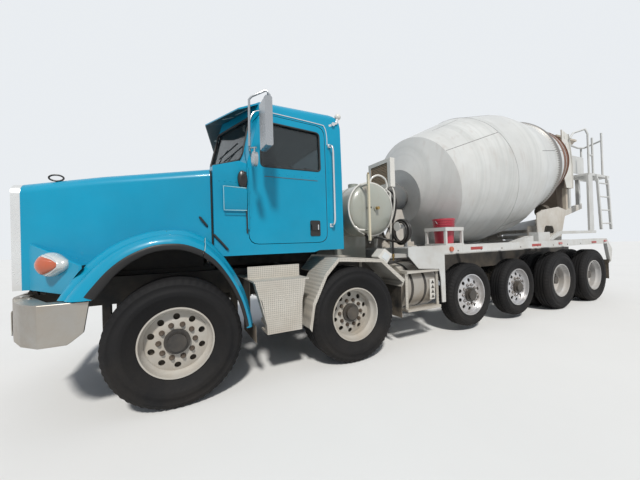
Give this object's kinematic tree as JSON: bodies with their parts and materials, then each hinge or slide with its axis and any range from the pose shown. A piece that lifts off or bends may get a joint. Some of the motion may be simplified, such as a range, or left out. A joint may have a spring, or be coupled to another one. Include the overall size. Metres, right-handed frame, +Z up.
{
  "type": "concrete mixer truck",
  "caption": "Conventional-cab concrete mixer truck with a tilted rotating drum, rear discharge chutes, tilting hood and opening doors.",
  "frame": {"origin": "on the ground under the middle of the bounding box", "axes": "+X forward, +Y to the truck's left, +Z up"},
  "size_m": [10.63, 2.87, 3.8777],
  "materials": {
    "chassis_paint": "dusty satin black",
    "dark_metal": "oily dark steel",
    "aluminium": "dirty bare aluminium",
    "exhaust_steel": "heat-stained steel",
    "teal_paint": "gloss blue-green enamel",
    "flap_rubber": "matte",
    "hose_rubber": "matte black",
    "glass": "clear dark-tinted",
    "cab_trim": "grained",
    "seat_cover": "woven with padded panels",
    "tank_paint": "weathered grey-white",
    "white_paint": "weathered white with dust and rust runs",
    "drive_paint": "blue-grey",
    "bucket_plastic": "moulded",
    "lamp_lens": "moulded lens",
    "chrome": "polished",
    "drum_paint": "weathered white",
    "tyre": "dusty black"
  },
  "bodies": {
    "chassis": {"frame_rails": "chassis_paint", "front_bumper": "aluminium", "powertrain": "chassis_paint", "front_axle": "chassis_paint", "pusher_axles": "chassis_paint", "drive_axles": "chassis_paint", "exhaust": "exhaust_steel", "fuel_tanks": "aluminium", "step_boxes": "aluminium", "fender_backs": "teal_paint", "second_fenders": "aluminium", "mud_flaps": "flap_rubber", "cab_shell": "teal_paint", "sun_visor": "teal_paint", "cab_glass": "glass", "cab_interior": "cab_trim", "seats": "seat_cover", "water_tank": "tank_paint", "oil_cooler": "white_paint", "front_pedestal": "white_paint", "drum_drive": "drive_paint", "rear_pedestal": "white_paint", "body_frame": "white_paint", "charge_hopper": "white_paint", "platform": "white_paint", "bucket": "bucket_plastic", "hose_run": "hose_rubber", "wash_hose": "hose_rubber", "hose_nozzle": "chrome", "marker_lamps": "lamp_lens"},
    "hood": {"hood": "teal_paint", "grille": "aluminium"},
    "door_left": {"door_left": "teal_paint", "door_glass_left": "glass", "mirror_left": "chrome"},
    "door_right": {"door_right": "teal_paint", "door_glass_right": "glass", "mirror_right": "chrome"},
    "knuckle_left": {"knuckle_left": "chassis_paint"},
    "knuckle_right": {"knuckle_right": "chassis_paint"},
    "drum": {"drum": "drum_paint"},
    "roller_left": {"roller_left": "dark_metal"},
    "roller_right": {"roller_right": "dark_metal"},
    "chute_swivel": {"chute_swivel": "white_paint"},
    "main_chute": {"main_chute": "white_paint"},
    "fold_chute": {"fold_chute": "white_paint"},
    "lift_barrel": {"lift_barrel": "dark_metal"},
    "lift_rod": {"lift_rod": "chrome"},
    "wheel_1_left": {"wheel_1_left": "tyre"},
    "wheel_1_right": {"wheel_1_right": "tyre"},
    "wheel_2_left": {"wheel_2_left": "tyre"},
    "wheel_2_right": {"wheel_2_right": "tyre"},
    "wheel_3_left": {"wheel_3_left": "tyre"},
    "wheel_3_right": {"wheel_3_right": "tyre"},
    "wheel_4_left": {"wheel_4_left": "tyre"},
    "wheel_4_right": {"wheel_4_right": "tyre"},
    "wheel_5_left": {"wheel_5_left": "tyre"},
    "wheel_5_right": {"wheel_5_right": "tyre"},
    "wheel_6_left": {"wheel_6_left": "tyre"},
    "wheel_6_right": {"wheel_6_right": "tyre"}
  },
  "joints": [
    {"name": "steer_left", "type": "hinge", "parent": "chassis", "child": "knuckle_left", "pos_m": [4.065, 0.9, 0.545], "axis": [0, 0, 1], "range_deg": [-30, 30]},
    {"name": "steer_right", "type": "hinge", "parent": "chassis", "child": "knuckle_right", "pos_m": [4.065, -0.9, 0.545], "axis": [0, 0, 1], "range_deg": [-30, 30]},
    {"name": "spin_1_left", "type": "hinge", "parent": "knuckle_left", "child": "wheel_1_left", "pos_m": [4.065, 1.05, 0.545], "axis": [0, 1, 0], "continuous": true},
    {"name": "spin_1_right", "type": "hinge", "parent": "knuckle_right", "child": "wheel_1_right", "pos_m": [4.065, -1.05, 0.545], "axis": [0, 1, 0], "continuous": true},
    {"name": "spin_2_left", "type": "hinge", "parent": "chassis", "child": "wheel_2_left", "pos_m": [2.264, 1.05, 0.536], "axis": [0, 1, 0], "continuous": true},
    {"name": "spin_2_right", "type": "hinge", "parent": "chassis", "child": "wheel_2_right", "pos_m": [2.264, -1.05, 0.536], "axis": [0, 1, 0], "continuous": true},
    {"name": "spin_3_left", "type": "hinge", "parent": "chassis", "child": "wheel_3_left", "pos_m": [0.198, 1.05, 0.525], "axis": [0, 1, 0], "continuous": true},
    {"name": "spin_3_right", "type": "hinge", "parent": "chassis", "child": "wheel_3_right", "pos_m": [0.198, -1.05, 0.525], "axis": [0, 1, 0], "continuous": true},
    {"name": "spin_4_left", "type": "hinge", "parent": "chassis", "child": "wheel_4_left", "pos_m": [-0.988, 1.05, 0.525], "axis": [0, 1, 0], "continuous": true},
    {"name": "spin_4_right", "type": "hinge", "parent": "chassis", "child": "wheel_4_right", "pos_m": [-0.988, -1.05, 0.525], "axis": [0, 1, 0], "continuous": true},
    {"name": "spin_5_left", "type": "hinge", "parent": "chassis", "child": "wheel_5_left", "pos_m": [-2.269, 1.05, 0.525], "axis": [0, 1, 0], "continuous": true},
    {"name": "spin_5_right", "type": "hinge", "parent": "chassis", "child": "wheel_5_right", "pos_m": [-2.269, -1.05, 0.525], "axis": [0, 1, 0], "continuous": true},
    {"name": "spin_6_left", "type": "hinge", "parent": "chassis", "child": "wheel_6_left", "pos_m": [-3.564, 1.05, 0.525], "axis": [0, 1, 0], "continuous": true},
    {"name": "spin_6_right", "type": "hinge", "parent": "chassis", "child": "wheel_6_right", "pos_m": [-3.564, -1.05, 0.525], "axis": [0, 1, 0], "continuous": true},
    {"name": "hood_tilt", "type": "hinge", "parent": "chassis", "child": "hood", "pos_m": [5.215, 0, 1], "axis": [0, 1, 0], "range_deg": [0, 55]},
    {"name": "door_left_swing", "type": "hinge", "parent": "chassis", "child": "door_left", "pos_m": [3.393, 1.01, 1.9], "axis": [0, 0, -1], "range_deg": [0, 65]},
    {"name": "door_right_swing", "type": "hinge", "parent": "chassis", "child": "door_right", "pos_m": [3.393, -1.01, 1.9], "axis": [0, 0, 1], "range_deg": [0, 65]},
    {"name": "drum_spin", "type": "hinge", "parent": "chassis", "child": "drum", "pos_m": [1.065, 0, 1.989], "axis": [-0.9748, 0, 0.223], "continuous": true},
    {"name": "roller_left_spin", "type": "hinge", "parent": "chassis", "child": "roller_left", "pos_m": [-2.96184, 0.58265, 1.87498], "axis": [-0.9748, 0, 0.223], "continuous": true},
    {"name": "roller_right_spin", "type": "hinge", "parent": "chassis", "child": "roller_right", "pos_m": [-2.96184, -0.58265, 1.87498], "axis": [-0.9748, 0, 0.223], "continuous": true},
    {"name": "chute_swing", "type": "hinge", "parent": "chassis", "child": "chute_swivel", "pos_m": [-4.655, 0, 1.2], "axis": [0, 0, -1], "range_deg": [0, 125]},
    {"name": "chute_tilt", "type": "hinge", "parent": "chute_swivel", "child": "main_chute", "pos_m": [-4.655, 0, 1.6], "axis": [1, 0, 0], "range_deg": [-18, 17]},
    {"name": "chute_fold", "type": "hinge", "parent": "main_chute", "child": "fold_chute", "pos_m": [-4.655, -1.15125, 1.44224], "axis": [1, 0, 0], "range_deg": [0, 180]},
    {"name": "lift_turn", "type": "hinge", "parent": "chute_swivel", "child": "lift_barrel", "pos_m": [-4.655, -0.125, 1.17], "axis": [1, 0, 0], "range_deg": [-24, 24]},
    {"name": "lift_stroke", "type": "slide", "parent": "lift_barrel", "child": "lift_rod", "axis": [0, -0.9988, 0.0487], "range_m": [-0.145, 0.145]}
  ],
  "couplings": [
    {"joint": "steer_right", "follows": "steer_left", "ratio": 1},
    {"joint": "roller_left_spin", "follows": "drum_spin", "ratio": -7.9615},
    {"joint": "roller_right_spin", "follows": "drum_spin", "ratio": -7.9615},
    {"joint": "lift_turn", "follows": "chute_tilt", "ratio": 1.2},
    {"joint": "lift_stroke", "follows": "chute_tilt", "m_per_rad": -0.43}
  ]
}
